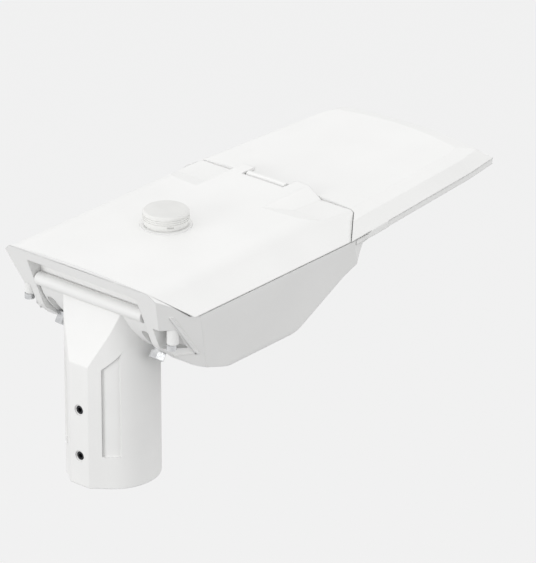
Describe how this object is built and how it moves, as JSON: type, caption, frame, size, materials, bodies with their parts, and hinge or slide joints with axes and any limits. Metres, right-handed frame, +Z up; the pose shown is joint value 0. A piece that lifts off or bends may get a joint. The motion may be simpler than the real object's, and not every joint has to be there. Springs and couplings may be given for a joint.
{
  "type": "led street light",
  "caption": "Post-top street light with a flat optical head, a hinged lid over the gear compartment and a spigot that tilts on the pole.",
  "frame": {"origin": "centre of the spigot's mouth, where the pole enters", "axes": "+Z up the pole, +X towards the head's tip, +Y to the left when looking along +X"},
  "size_m": [0.4854, 0.2214, 0.2278],
  "materials": {
    "casting": "matt light-grey polyester powder coat",
    "spigot_casting": "matt light-grey polyester powder coat",
    "steel": "stainless, plain",
    "silicone": "moulded silicone",
    "glass": "flat tempered glass",
    "lens": "moulded clear acrylic",
    "board": "white solder mask on aluminium core",
    "emitter": "phosphor coated emitter",
    "zinc": "zinc plated sheet",
    "driver_case": "moulded white plastic case",
    "surge_case": "potted plastic case",
    "terminal": "moulded polyamide",
    "gland": "moulded polyamide",
    "socket": "moulded polycarbonate",
    "lead": "extruded silicone insulation",
    "cap": "moulded light-grey polycarbonate"
  },
  "bodies": {
    "spigot": {"spigot": "spigot_casting", "pole_set_screws": "steel"},
    "housing": {"housing": "casting", "clamp_bolts": "steel", "clamp_washers": "steel", "hinge_pin": "steel", "lid_screws": "steel", "lid_gasket": "silicone", "led_board": "board", "led_emitters": "emitter", "lens_plate_rear": "lens", "lens_plate_front": "lens", "board_screws": "steel", "glass_cover": "glass", "glass_gasket": "silicone", "glass_frame": "casting", "frame_screws": "steel", "gear_tray": "zinc", "tray_screws": "steel", "driver": "driver_case", "surge_protector": "surge_case", "terminal_block": "terminal", "cable_gland": "gland", "supply_leads": "lead", "board_leads": "lead", "gland_nut": "gland"},
    "lid": {"lid": "casting", "socket": "socket", "socket_gasket": "silicone", "socket_nut": "gland"},
    "cap": {"cap": "cap", "cap_seal": "silicone"}
  },
  "joints": [
    {"name": "tilt", "type": "hinge", "parent": "spigot", "child": "housing", "pos_m": [0.043, 0, 0.193], "axis": [0, -1, 0], "range_deg": [-20, 5]},
    {"name": "lid_hinge", "type": "hinge", "parent": "housing", "child": "lid", "pos_m": [0.211, 0, 0.2093], "axis": [0, 1, 0], "range_deg": [0, 100]},
    {"name": "cap_twist", "type": "hinge", "parent": "lid", "child": "cap", "pos_m": [0.073, 0, 0.2164], "axis": [0, 0, 1], "range_deg": [0, 35]}
  ]
}
